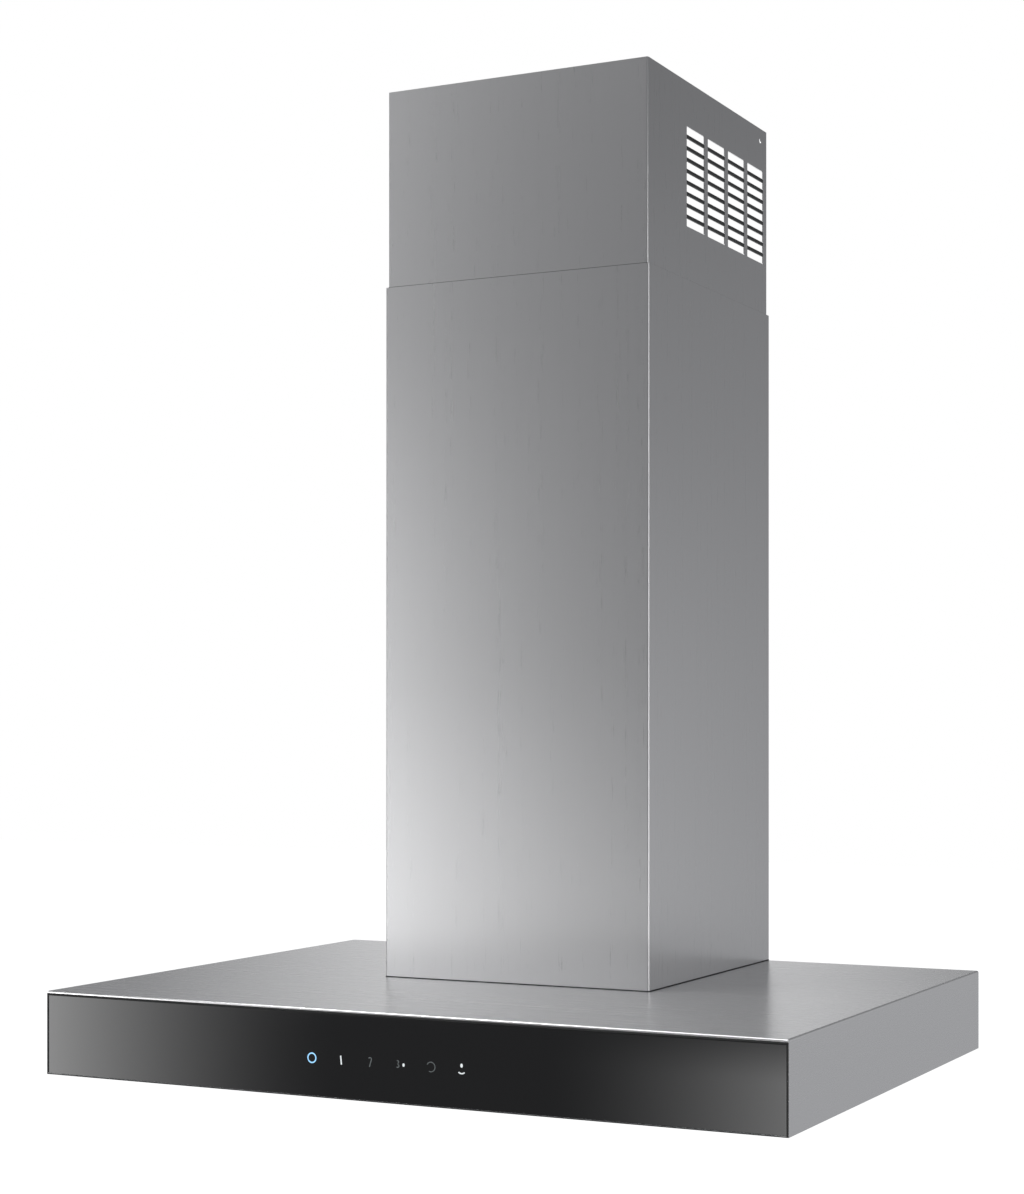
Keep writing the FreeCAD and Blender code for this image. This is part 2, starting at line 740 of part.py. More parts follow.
def make_blower_box():
    outer = box(-blower_half, blower_half, blower_front, 0, canopy_height, box_top)
    inner = box(-blower_half + sheet, blower_half - sheet, blower_front + sheet, -sheet,
                canopy_height - 1, box_top - sheet)
    rim = sheet + lid_rim
    top_hole = box(-blower_half + rim, blower_half - rim, blower_front + rim, -rim,
                   box_top - 2, box_top + 1)
    shell = outer.cut(inner).cut(top_hole)
    foot_x = blower_half + box_flange
    foot = box(-foot_x, foot_x, blower_front - box_flange, -cover_return - 4,
               canopy_height, canopy_height + sheet)
    foot = foot.cut(box(-blower_half + sheet, blower_half - sheet, blower_front + sheet, 1,
                        canopy_height - 1, canopy_height + sheet + 1))
    shell = fuse([shell, foot])
    for x, y in blower_screw_places():
        shell = shell.cut(rod((x, y, canopy_height - 1), screw_hole_r, sheet + 2))
    for x, y in lid_screw_places():
        shell = shell.cut(rod((x, y, box_top - 2), screw_hole_r, 4))
    for side in (-1, 1):
        for z in wall_holes_z:
            shell = shell.cut(rod((side * wall_hole_x, -sheet - 1, z), wall_hole_r, sheet + 2, Y_AXIS))
    return shell


def make_lid():
    lid = box(-blower_half, blower_half, blower_front, -0.5, box_top, lid_top)
    lid = lid.makeFillet(3, edges_where(lid, lambda b: b.ZLength > 1 and b.XLength < 0.1))
    lid = lid.cut(rod((0, collar_y, box_top - 1), collar_inner, lid_thick + 2))
    for x, y in lid_screw_places() + scroll_screw_places():
        lid = lid.cut(rod((x, y, box_top - 1), screw_hole_r, lid_thick + 2))
    return lid


keep("blower_box", make_blower_box())
keep("blower_lid", make_lid())
keep("blower_screws",
     *[screw((x, y, canopy_height + sheet), screw_r, 6, screw_head_r, screw_head, -Z_AXIS)
       for x, y in blower_screw_places()],
     *[screw((x, y, lid_top), screw_r, 7, screw_head_r, screw_head, -Z_AXIS)
       for x, y in lid_screw_places() + scroll_screw_places()])


# ---- scroll housing: two halves that meet on the centre plane ----
def scroll_outline(extra, mouth_z):
    # a spiral of three quarter circles that grow by one step, and the straight duct to the mouth
    half_step = scroll_step / 2
    y = impeller_axis_y
    z = impeller_axis_z
    radii = [scroll_first_r + i * scroll_step + extra for i in range(3)]
    centres = [(y - half_step, z - half_step), (y + half_step, z - half_step),
               (y + half_step, z + half_step)]

    def point(i, degrees):
        turn = math.radians(degrees)
        return V(0, centres[i][0] + radii[i] * math.cos(turn), centres[i][1] + radii[i] * math.sin(turn))

    tongue_y = mouth_front - extra
    tongue_turn = math.degrees(math.acos((tongue_y - centres[0][0]) / radii[0]))
    corners = [V(0, tongue_y, mouth_z), point(0, tongue_turn), point(0, 180), point(1, 270), point(2, 360)]
    corners.append(V(0, corners[-1].y, mouth_z))
    edges = [Part.LineSegment(corners[0], corners[1]).toShape()]
    middles = [point(0, (tongue_turn + 180) / 2), point(1, 225), point(2, 315)]
    for i, middle in enumerate(middles):
        edges.append(Part.Arc(corners[i + 1], middle, corners[i + 2]).toShape())
    edges.append(Part.LineSegment(corners[4], corners[5]).toShape())
    edges.append(Part.LineSegment(corners[5], corners[0]).toShape())
    return Part.Face(Part.Wire(edges))


def arm_places():
    turns = [math.radians(degrees) for degrees in arm_degrees]
    return [(impeller_axis_y + mount_circle * math.cos(turn), impeller_axis_z + mount_circle * math.sin(turn))
            for turn in turns]


def make_scroll_half(side):
    outer = scroll_outline(scroll_wall, box_top).extrude(V(scroll_outer, 0, 0))
    rim = box(0, mouth_rim_x, rim_front, rim_rear, box_top - rim_thick, box_top)
    body = fuse([outer, rim])
    body = body.cut(scroll_outline(0, box_top + 1).extrude(V(scroll_half, 0, 0)))
    body = body.cut(rod((-1, impeller_axis_y, impeller_axis_z), inlet_r, scroll_outer + 2, X_AXIS))
    for x, y in scroll_screw_places():
        if x > 0:
            body = body.cut(rod((x, y, box_top - rim_thick - 1), screw_hole_r, rim_thick + 2))
    if side < 0:
        for y, z in arm_places():
            body = body.cut(rod((scroll_half - 1, y, z), screw_hole_r, scroll_wall + 2, X_AXIS))
    return body if side > 0 else mirror_x(body)


def make_inlet_ring(side):
    x = scroll_outer
    flange = ring((x, impeller_axis_y, impeller_axis_z), inlet_r + 12, inlet_r - 2.5, 2, X_AXIS)
    throat = ring((impeller_half + 1.2, impeller_axis_y, impeller_axis_z), inlet_r - 0.5, inlet_r - 2.5,
                  x - impeller_half - 0.2, X_AXIS)
    body = fuse([flange, throat])
    return body if side > 0 else mirror_x(body)


keep("scroll_housing_left", make_scroll_half(-1))
keep("scroll_housing_right", make_scroll_half(1))
keep("inlet_rings", make_inlet_ring(-1), make_inlet_ring(1))


# ---- impeller, shaft and motor: made about the X axis, then moved to the impeller's axis ----
impeller_place = V(0, impeller_axis_y, impeller_axis_z)


def along_x(x, radius, length, inner=0.0):
    body = rod((x, 0, 0), radius, length, X_AXIS)
    return body.cut(rod((x - 1, 0, 0), inner, length + 2, X_AXIS)) if inner else body


def make_impeller():
    disc = along_x(-1, impeller_r - 0.4, 2)
    boss = along_x(0, 11, 16)
    rings = [along_x(x, impeller_r, 2.5, blade_inner_r - 1) for x in (-impeller_half, impeller_half - 2.5)]
    blades = []
    chord = impeller_r - blade_inner_r - 1.2
    for i in range(blade_count):
        blade = box(-impeller_half + 1, impeller_half - 1, blade_inner_r, blade_inner_r + chord, -0.5, 0.5)
        blade.rotate(V(0, blade_inner_r + chord / 2, 0), X_AXIS, blade_angle)
        blade.rotate(V(0, 0, 0), X_AXIS, 360.0 / blade_count * i)
        blades.append(blade)
    return fuse([disc, boss] + rings + blades).cut(along_x(-5, shaft_r, 30))


def make_motor_case():
    case = along_x(motor_back, motor_r, motor_nose - motor_back)
    case = case.cut(along_x(motor_back - 1, motor_r - motor_wall, motor_nose - motor_back - motor_wall + 1))
    seat = along_x(motor_nose - motor_wall - bearing_length, bearing_r + 2, bearing_length + 0.5, bearing_r)
    return fuse([case, seat]).cut(along_x(motor_nose - 3, shaft_r + 1, 5))


def make_motor_end_cap():
    return fuse([along_x(motor_back - 2, motor_r, 2),
                 along_x(motor_back - 0.5, bearing_r + 2, bearing_length + 0.5, bearing_r)])


def make_stator():
    core = along_x(-48, motor_r - motor_wall, 28, rotor_r + air_gap)
    windings = [along_x(x, motor_r - 4, 6.5, rotor_r + 4) for x in (-54, -20.5)]
    return fuse([core] + windings)


def make_motor_bracket():
    plate = along_x(motor_back - 4, motor_r + 2, 2, 26)
    arms = []
    for degrees in arm_degrees:
        arm = box(motor_back - 4, motor_back - 2, motor_r - 6, mount_circle + 8, -7, 7)
        arm.rotate(V(0, 0, 0), X_AXIS, degrees)
        arms.append(arm)
    bracket = fuse([plate] + arms)
    for y, z in arm_places():
        place = (motor_back - 6, y - impeller_axis_y, z - impeller_axis_z)
        bracket = bracket.cut(rod(place, screw_hole_r, 6, X_AXIS))
    return bracket


def make_grommets():
    grommets = []
    for y, z in arm_places():
        place = (motor_back - 2, y - impeller_axis_y, z - impeller_axis_z)
        grommets.append(ring(place, 7, screw_hole_r, -scroll_outer - motor_back + 2, X_AXIS))
    return grommets


def make_motor_screws():
    screws = []
    for y, z in arm_places():
        place = (motor_back - 4, y - impeller_axis_y, z - impeller_axis_z)
        screws.append(screw(place, screw_r, 16, screw_head_r, screw_head, X_AXIS))
    return screws


def moved(shape):
    return shape.translated(impeller_place)


keep("impeller", moved(make_impeller()))
keep("motor_shaft", moved(along_x(motor_back + 1, shaft_r, 18 - motor_back - 1)))
keep("rotor_core", moved(along_x(-47, rotor_r, 26, shaft_r)))
keep("stator_core", moved(make_stator()))
keep("motor_case", moved(make_motor_case()))
keep("motor_end_cap", moved(make_motor_end_cap()))
keep("motor_bearings",
     moved(along_x(motor_nose - motor_wall - bearing_length, bearing_r, bearing_length,
                   shaft_r + bearing_clear)),
     moved(along_x(motor_back, bearing_r, bearing_length, shaft_r + bearing_clear)))
keep("motor_bracket", moved(make_motor_bracket()))
keep("motor_grommets", *[moved(grommet) for grommet in make_grommets()])
keep("motor_screws", *[moved(one) for one in make_motor_screws()])
keep("motor_lead", lead([(motor_back - 2, impeller_axis_y, impeller_axis_z - 18),
                         (motor_lead_x, impeller_axis_y, impeller_axis_z - 18),
                         (motor_lead_x, impeller_axis_y - 6, lead_entry_z),
                         (motor_lead_x, control_rear - 6, lead_entry_z)], motor_lead_r))

capacitor_place = (blower_half - capacitor_side, -capacitor_out, canopy_height + capacitor_lift)


def make_capacitor():
    x, y, z = capacitor_place
    can = rod(capacitor_place, capacitor_r, capacitor_height)
    return fuse([can, rod((x, y, z + capacitor_height - 1), 4, 9)])


keep("run_capacitor", make_capacitor())


def make_capacitor_clip():
    x, y, z = capacitor_place
    band = ring((x, y, z + 24), capacitor_r + 1.2, capacitor_r, 14)
    foot = box(x - 10, x + 10, y + capacitor_r + 0.6, -sheet, z + 24, z + 38)
    return fuse([band, foot.cut(rod((x, y, z + 20), capacitor_r, 30))])


keep("capacitor_clip", make_capacitor_clip())


# ---- outlet collar and its non-return flaps ----
def make_collar():
    tube = ring((0, collar_y, lid_top), duct_r, collar_inner, collar_height)
    flange = ring((0, collar_y, lid_top), duct_r + collar_flange, collar_inner, sheet)
    ledge = ring((0, collar_y, flap_z - 2.2), collar_inner + 0.2, flap_r - 1.5, 1.3)
    ledge = ledge.cut(box(-duct_r, duct_r, collar_y - 12, collar_y + 12, flap_z - 4, flap_z + 2))
    return fuse([tube, flange, ledge])


def make_spindle(side):
    y = collar_y + side * spindle_offset
    body = rod((-duct_r, y, flap_z), spindle_r, 2 * duct_r, X_AXIS)
    return body.common(rod((0, collar_y, lid_top), collar_inner, collar_height))


def make_flap(side):
    y = collar_y + side * spindle_offset
    disc = rod((0, collar_y, flap_z - flap_thick / 2), flap_r, flap_thick)
    near = y + side * (spindle_r + 0.5)
    far = collar_y + side * 2 * duct_r
    plate = disc.common(box(-duct_r, duct_r, min(near, far), max(near, far), flap_z - 2, flap_z + 2))
    pieces = [plate]
    hole_r = spindle_r + spindle_clear
    for x in (-58, 18):
        pieces.append(rod((x, y, flap_z), hole_r + 1.4, 40, X_AXIS))
    flap = fuse(pieces)
    return flap.cut(rod((-duct_r, y, flap_z), hole_r, 2 * duct_r, X_AXIS))


keep("outlet_collar", make_collar())
keep("damper_spindles", make_spindle(-1), make_spindle(1))
keep("damper_flap_front", make_flap(-1))
keep("damper_flap_rear", make_flap(1))

# ---- junction box on the lid, in front of the collar ----
def make_junction_box():
    outer = box(-junction_half, junction_half, junction_front, junction_rear, lid_top, junction_top)
    outer = outer.makeFillet(2.5, edges_where(outer, lambda b: b.ZLength > 1 and b.XLength < 0.1))
    inner = box(-junction_half + junction_wall, junction_half - junction_wall,
                junction_front + junction_wall, junction_rear - junction_wall,
                lid_top + junction_wall, junction_top + 1)
    return outer.cut(inner)


def make_junction_cover():
    cover = box(-junction_half, junction_half, junction_front, junction_rear, junction_top, junction_top + 2)
    cover = cover.makeFillet(2.5, edges_where(cover, lambda b: b.ZLength > 1 and b.XLength < 0.1))
    return cover.cut(rod((gland_x, gland_y, junction_top - 1), gland_body_r, 4))


def make_gland():
    body = rod((gland_x, gland_y, junction_top - 6), gland_body_r, 30)
    nut = rod((gland_x, gland_y, junction_top + 2), gland_body_r + 3, 5)
    lock = rod((gland_x, gland_y, junction_top - 5), gland_body_r + 3, 5)
    cap = rod((gland_x, gland_y, junction_top + 8), gland_body_r + 2.5, 12)
    gland = fuse([body, nut, lock, cap])
    return gland.cut(rod((gland_x, gland_y, junction_top - 8), gland_bore_r, 40))


def make_terminal_block():
    block = box(0, 56, gland_y - 9, gland_y + 9, lid_top + junction_wall, lid_top + junction_wall + 14)
    for i in range(5):
        block = block.cut(rod((6 + i * 11, gland_y, lid_top + junction_wall + 9), 2.4, 8))
    return block


keep("junction_box", make_junction_box())
keep("junction_cover", make_junction_cover())
keep("cable_gland", make_gland())
keep("terminal_block", make_terminal_block())


# ---- chimney covers ----
def folded_cover(half, front, back, low, high):
    outer = box(-half, half, front, back, low, high)
    outer = outer.makeFillet(fold_outer, edges_where(
        outer, lambda b: b.ZLength > 1 and b.YMax < front + 0.01 and b.XLength < 0.01))
    inner = box(-half + sheet, half - sheet, front + sheet, back + 1, low - 1, high + 1)
    inner = inner.makeFillet(fold_inner, edges_where(
        inner, lambda b: b.ZLength > 1 and b.YMax < front + sheet + 0.01 and b.XLength < 0.01))
    return outer.cut(inner)


def make_lower_cover():
    cover = folded_cover(lower_half, -chimney_depth, 0, chimney_base, lower_top)
    returns = [box(min(side * lower_half, side * (lower_half - cover_return)),
                   max(side * lower_half, side * (lower_half - cover_return)),
                   -sheet, 0, chimney_base, lower_top) for side in (-1, 1)]
    return fuse([cover] + returns)


def slot_places():
    first = upper_back - slot_rear - slot_length / 2
    top = upper_top - slot_top_down - slot_height / 2
    return [(first - i * slot_pitch_y, top - j * slot_pitch_z)
            for i in range(slot_columns) for j in range(slot_rows)]


def make_upper_cover():
    cover = folded_cover(upper_half, upper_front, upper_back, upper_bottom, upper_top)
    returns = [box(min(side * upper_half, side * (upper_half - cover_return)),
                   max(side * upper_half, side * (upper_half - cover_return)),
                   upper_back - sheet, upper_back, upper_bottom, upper_top - flange_relief)
               for side in (-1, 1)]
    cover = fuse([cover] + returns)
    slots = []
    for y, z in slot_places():
        slot = box(-upper_half - 1, upper_half + 1, y - slot_length / 2, y + slot_length / 2,
                   z - slot_height / 2, z + slot_height / 2)
        slots.append(slot.makeFillet(slot_corner, edges_where(slot, lambda b: b.XLength > 1)))
    slots.append(rod((-upper_half - 1, upper_back - bracket_hole_in, upper_top - bracket_hole_down),
                     bracket_hole_r, 2 * upper_half + 2, X_AXIS))
    return cover.cut(Part.makeCompound(slots))


def make_locating_frame():
    x = lower_half - sheet - weld_gap
    front = -chimney_depth + sheet + weld_gap
    low = chimney_base
    high = chimney_base + 15
    outer = box(-x, x, front, -cover_return - 2, low, high)
    outer = outer.makeFillet(fold_inner, edges_where(
        outer, lambda b: b.ZLength > 1 and b.YMax < front + 0.01 and b.XLength < 0.01))
    return outer.cut(box(-x + sheet, x - sheet, front + sheet, 1, low - 1, high + 1))


keep("lower_chimney_cover", make_lower_cover())
keep("upper_chimney_cover", make_upper_cover())
keep("cover_locating_frame", make_locating_frame())

# ---- write every sub-part ----
os.makedirs("parts", exist_ok=True)
for name, shape in sorted(parts.items()):
    print(name, len(shape.Solids), shape.isValid(), round(shape.Volume / 1000, 2))
    shape.exportStep("parts/" + name + ".step")
print("nodes", len(parts))
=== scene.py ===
import json
import math
import bmesh
import bpy
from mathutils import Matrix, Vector


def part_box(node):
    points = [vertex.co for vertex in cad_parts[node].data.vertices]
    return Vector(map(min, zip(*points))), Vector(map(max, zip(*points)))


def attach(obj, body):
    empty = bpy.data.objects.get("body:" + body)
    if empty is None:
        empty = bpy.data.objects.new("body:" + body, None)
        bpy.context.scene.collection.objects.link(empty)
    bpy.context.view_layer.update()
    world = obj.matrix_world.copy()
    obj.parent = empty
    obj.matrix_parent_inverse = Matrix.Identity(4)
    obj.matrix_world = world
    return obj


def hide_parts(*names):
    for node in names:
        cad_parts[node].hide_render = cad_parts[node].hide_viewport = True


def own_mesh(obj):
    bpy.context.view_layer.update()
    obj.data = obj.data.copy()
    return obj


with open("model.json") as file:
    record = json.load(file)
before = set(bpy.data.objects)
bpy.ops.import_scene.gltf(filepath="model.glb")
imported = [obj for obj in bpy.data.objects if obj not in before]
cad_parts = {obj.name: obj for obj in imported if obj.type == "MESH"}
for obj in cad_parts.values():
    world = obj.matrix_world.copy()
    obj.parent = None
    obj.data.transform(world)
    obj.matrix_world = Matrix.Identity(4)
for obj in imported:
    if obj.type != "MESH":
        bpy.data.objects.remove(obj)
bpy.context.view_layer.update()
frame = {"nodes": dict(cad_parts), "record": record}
nodes = frame["nodes"]
scene = bpy.context.scene
scene.view_settings.view_transform = "Standard"
print("frame loaded:", len(nodes), "nodes")

mm = 0.001


# colours are sRGB hex, and the shaders want linear light
def linear(hexColour):
    channels = [int(hexColour[i:i + 2], 16) / 255 for i in (1, 3, 5)]
    light = [c / 12.92 if c <= 0.04045 else ((c + 0.055) / 1.055) ** 2.4 for c in channels]
    return tuple(light) + (1.0,)


# the same colour darker or lighter
def shade(colour, factor, lift=0.0):
    return tuple(min(1.0, c * factor + lift) for c in colour[:3]) + (1.0,)


# adds one node: settings are its properties or its sockets, links are sockets fed by other nodes
def addNode(tree, kind, settings=None, links=None):
    node = tree.nodes.new(kind)
    for name, value in (settings or {}).items():
        if isinstance(name, str) and hasattr(node, name):
            setattr(node, name, value)
        else:
            node.inputs[name].default_value = value
    for name, socket in (links or {}).items():
        tree.links.new(socket, node.inputs[name])
    return node


def newMaterial(name):
    material = bpy.data.materials.new(name)
    material.use_nodes = True
    tree = material.node_tree
    tree.nodes.clear()
    place = addNode(tree, "ShaderNodeTexCoord").outputs["Object"]
    return material, tree, place


def finishMaterial(tree, settings, links=None):
    shader = addNode(tree, "ShaderNodeBsdfPrincipled", settings, links)
    addNode(tree, "ShaderNodeOutputMaterial", links={"Surface": shader.outputs["BSDF"]})


# the shape in bm becomes an object that stays at the origin, with its finishes in order
def addObject(name, bm, finishes):
    mesh = bpy.data.meshes.new(name)
    bm.to_mesh(mesh)
    bm.free()
    for finish in finishes:
        mesh.materials.append(finish)
    thing = bpy.data.objects.new(name, mesh)
    scene.collection.objects.link(thing)
    return thing


# a piece of the hood, which moves with its body
def addPiece(name, bm, finishes, body):
    bmesh.ops.recalc_face_normals(bm, faces=bm.faces)
    piece = addObject(name, bm, finishes)
    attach(piece, body)
    return piece


# turns a flat ribbon of faces into a solid one, offset says how thick it is and which way
def thicken(bm, faces, offset):
    raised = bmesh.ops.extrude_face_region(bm, geom=faces)
    moved = [item for item in raised["geom"] if isinstance(item, bmesh.types.BMVert)]
    bmesh.ops.translate(bm, verts=moved, vec=offset)


cameraPlan = {
    "place": (1.0148, -2.2031, 0.3359),
    "turn": 0.4432,          # radians to the left of straight at the wall
    "lens": 66.83,
    "sensor": 36,
    "shift": (-0.0905, 0.1023),
    "clipEnd": 200,
}


def makeCamera():
    data = bpy.data.cameras.new("camera")
    data.lens = cameraPlan["lens"]
    data.sensor_width = cameraPlan["sensor"]
    data.shift_x, data.shift_y = cameraPlan["shift"]
    data.clip_end = cameraPlan["clipEnd"]
    camera = bpy.data.objects.new("camera", data)
    camera.location = cameraPlan["place"]
    camera.rotation_euler = (math.pi / 2, 0, cameraPlan["turn"])
    scene.collection.objects.link(camera)
    scene.camera = camera


makeCamera()
print("camera placed")

# light and backdrop
studio = {
    "floorDrop": 4.0,        # far enough below the hood to look up at it
    "floorSize": 60.0,
    "floorColour": "#e8e8e8",
    "floorGlow": 0.9,        # keeps the floor as pale as the backdrop
    "backdrop": "#ffffff",
    "airColour": "#fbfcff",
    "air": 0.205,            # even light from all round
    "rearAir": 0.185,        # more of it from low behind
    "lowZ": -0.12,           # the rear light is full below this height of its direction
    "highZ": 0.28,           # and gone above this one
    "beginY": -0.1,          # it begins where the direction's Y passes this
    "fullY": 0.6,            # and is full from here
}


def makeFloor():
    material, tree = newMaterial("paleFloorPaint")[:2]
    finishMaterial(tree, {"Base Color": linear(studio["floorColour"]), "Roughness": 0.9,
                          "Emission Color": linear(studio["backdrop"]),
                          "Emission Strength": studio["floorGlow"]})
    bm = bmesh.new()
    bmesh.ops.create_grid(bm, x_segments=1, y_segments=1, size=studio["floorSize"])
    bmesh.ops.translate(bm, verts=bm.verts, vec=(0, 0, -studio["floorDrop"]))
    floor = addObject("floor", bm, [material])
    floor.visible_glossy = False


def makeWorld():
    world = bpy.data.worlds.new("studioAir")
    scene.world = world
    world.use_nodes = True
    tree = world.node_tree
    tree.nodes.clear()
    direction = addNode(tree, "ShaderNodeTexCoord").outputs["Generated"]
    parts = addNode(tree, "ShaderNodeSeparateXYZ", links={"Vector": direction})
    low = addNode(tree, "ShaderNodeMapRange",
                  {"From Min": studio["lowZ"], "From Max": studio["highZ"],
                   "To Min": 1.0, "To Max": 0.0}, {"Value": parts.outputs["Z"]})
    rear = addNode(tree, "ShaderNodeMapRange",
                   {"From Min": studio["beginY"], "From Max": studio["fullY"],
                    "To Min": 0.0, "To Max": studio["rearAir"],
                    "interpolation_type": "SMOOTHSTEP"}, {"Value": parts.outputs["Y"]})
    total = addNode(tree, "ShaderNodeMath", {"operation": "MULTIPLY_ADD", 2: studio["air"]},
                    {0: low.outputs["Result"], 1: rear.outputs["Result"]})
    seen = addNode(tree, "ShaderNodeLightPath")
    air = addNode(tree, "ShaderNodeBackground", {"Color": linear(studio["airColour"])},
                  {"Strength": total.outputs["Value"]})
    white = addNode(tree, "ShaderNodeBackground",
                    {"Color": linear(studio["backdrop"]), "Strength": 1.0})
    mix = addNode(tree, "ShaderNodeMixShader",
                  links={0: seen.outputs["Is Camera Ray"], 1: air.outputs["Background"],
                         2: white.outputs["Background"]})
    addNode(tree, "ShaderNodeOutputWorld", links={"Surface": mix.outputs["Shader"]})


# soft cards that the steel and the glass mirror, in metres: each adds light to the air behind it
# across says where its light begins, is full, starts to fall and ends, as shares of its width,
# and power how late it rises
# upward says where its light starts to fall and where only topShare of it is left
cards = {
    "leftCard": {"centre": (-1.01, -1.5, 0.5), "facing": (0, 1, 0), "size": (0.7, 2.6),
                 "strength": 6.0, "across": (0.0, 1.0, 1.2, 1.3), "power": 2.0,
                 "upward": (0.31, 0.69), "topShare": 0.3},
    "middleCard": {"centre": (-0.74, -1.5, 0.2), "facing": (0, 1, 0), "size": (0.62, 0.5),
                   "strength": 0.55, "across": (0.0, 0.4, 0.6, 1.0), "power": 1.0,
                   "upward": (0.1, 1.0), "topShare": 0.0},
    "rightCard": {"centre": (0.25, -1.5, -0.35), "facing": (0, 1, 0), "size": (1.2, 0.6),
                  "strength": 3.0, "across": (-0.3, -0.2, 0.62, 1.0), "power": 2.0,
                  "upward": (0.88, 1.0), "topShare": 0.0},
    "sideCard": {"centre": (0.75, 0.5, 0.55), "facing": (0, -1, 0), "size": (0.8, 1.0),
                 "strength": 0.34, "across": (0.0, 1.0, 1.2, 1.3), "power": 1.0,
                 "upward": (0.0, 0.7), "topShare": 0.1},
    "rearCard": {"centre": (-1.15, 2.0, 0.4), "facing": (0, -1, 0), "size": (2.2, 1.3),
                 "strength": 0.62, "across": (0.0, 0.3, 0.75, 1.0), "power": 1.0,
                 "upward": (0.5, 1.0), "topShare": 0.5},
    "edgeCard": {"centre": (2.3, -1.1, 0.3), "facing": (-0.9, 0.4, 0), "size": (1.4, 2.2),
                 "strength": 2.5, "across": (0.0, 0.3, 0.7, 1.0), "power": 1.0,
                 "upward": (0.3, 1.0), "topShare": 0.6},
    "noseCard": {"centre": (-1.05, -0.85, 1.8), "facing": (0, 0, -1), "size": (0.9, 1.0),
                 "strength": 4.5, "across": (0.0, 0.3, 0.7, 1.0), "power": 1.0,
                 "upward": (0.0, 1.0), "topShare": 1.0},
    "overheadCard": {"centre": (-0.2, -0.8, 2.4), "facing": (0, 0, -1), "size": (2.2, 1.6),
                     "strength": 2.0, "across": (0.0, 0.3, 0.7, 1.0), "power": 1.0,
                     "upward": (0.0, 1.0), "topShare": 1.0},
}


def makeCard(name):
    plan = cards[name]
    width, height = plan["size"]
    material, tree, place = newMaterial(name + "Light")
    parts = addNode(tree, "ShaderNodeSeparateXYZ", links={"Vector": place})
    begin, full, fall, end = ((share - 0.5) * width for share in plan["across"])
    rise = addNode(tree, "ShaderNodeMapRange",
                   {"From Min": begin, "From Max": full, "To Min": 0.0, "To Max": 1.0},
                   {"Value": parts.outputs["X"]})
    drop = addNode(tree, "ShaderNodeMapRange",
                   {"From Min": fall, "From Max": end, "To Min": 1.0, "To Max": 0.0},
                   {"Value": parts.outputs["X"]})
    across = addNode(tree, "ShaderNodeMath", {"operation": "MULTIPLY"},
                     {0: rise.outputs["Result"], 1: drop.outputs["Result"]})
    curved = addNode(tree, "ShaderNodeMath", {"operation": "POWER", 1: plan["power"]},
                     {0: across.outputs["Value"]})
    low, high = ((share - 0.5) * height for share in plan["upward"])
    upright = addNode(tree, "ShaderNodeMapRange",
                      {"From Min": low, "From Max": high,
                       "To Min": plan["strength"], "To Max": plan["strength"] * plan["topShare"]},
                      {"Value": parts.outputs["Y"]})
    strength = addNode(tree, "ShaderNodeMath", {"operation": "MULTIPLY"},
                       {0: curved.outputs["Value"], 1: upright.outputs["Result"]})
    light = addNode(tree, "ShaderNodeEmission", {"Color": linear("#ffffff")},
                    {"Strength": strength.outputs["Value"]})
    clear = addNode(tree, "ShaderNodeBsdfTransparent")
    both = addNode(tree, "ShaderNodeAddShader",
                   links={0: light.outputs["Emission"], 1: clear.outputs["BSDF"]})
    addNode(tree, "ShaderNodeOutputMaterial", links={"Surface": both.outputs["Shader"]})
    bm = bmesh.new()
    bmesh.ops.create_grid(bm, x_segments=1, y_segments=1, size=0.5)
    bmesh.ops.scale(bm, verts=bm.verts, vec=(width, height, 1))
    card = addObject(name, bm, [material])
    card.location = plan["centre"]
    card.rotation_euler = Vector(plan["facing"]).to_track_quat("Z", "Y").to_euler()
    card.visible_camera = False
    card.visible_shadow = False


makeFloor()
makeWorld()
for cardName in cards:
    makeCard(cardName)
print("studio lit")


# in a Mix node socket 0 is the share, 2 and 3 are numbers, 4 and 5 vectors, 6 and 7 colours

# noise that is drawn out along the axes where stretch is a small share
def grain(tree, place, stretch, width, detail=4.0):
    scaled = addNode(tree, "ShaderNodeMapping", {"Scale": tuple(s / width for s in stretch)},
                     {"Vector": place})
    return addNode(tree, "ShaderNodeTexNoise", {"Scale": 1.0, "Detail": detail, "Roughness": 0.6},
                   {"Vector": scaled.outputs["Vector"]}).outputs["Fac"]


brushing = {
    "streak": 0.5 * mm,      # far coarser than real grit leaves, so that it shows
    "band": 7 * mm,
    "bandShare": 0.5,        # what the bands add to the streaks
    "mixed": (0.4, 1.1),     # the range of the two together
    "uneven": 0.04,          # share by which the roughness varies
    "darkest": 0.97,
    "scratch": 0.1 * mm,
    "endFace": 0.7,          # a face whose normal leans along X by more than this is an end face
}
longways = 0.012             # a streak is about eighty times as long as it is wide
alongX = ((longways, 1, 1), "X")
alongY = ((1, longways, 1), "Y")
alongZ = ((1, 1, longways), "Z")


# one on the end faces, nought elsewhere
def endFaces(tree):
    normal = addNode(tree, "ShaderNodeTexCoord").outputs["Normal"]
    parts = addNode(tree, "ShaderNodeSeparateXYZ", links={"Vector": normal})
    size = addNode(tree, "ShaderNodeMath", {"operation": "ABSOLUTE"}, {0: parts.outputs["X"]})
    return addNode(tree, "ShaderNodeMath", {"operation": "GREATER_THAN", 1: brushing["endFace"]},
                   {0: size.outputs["Value"]}).outputs["Value"]


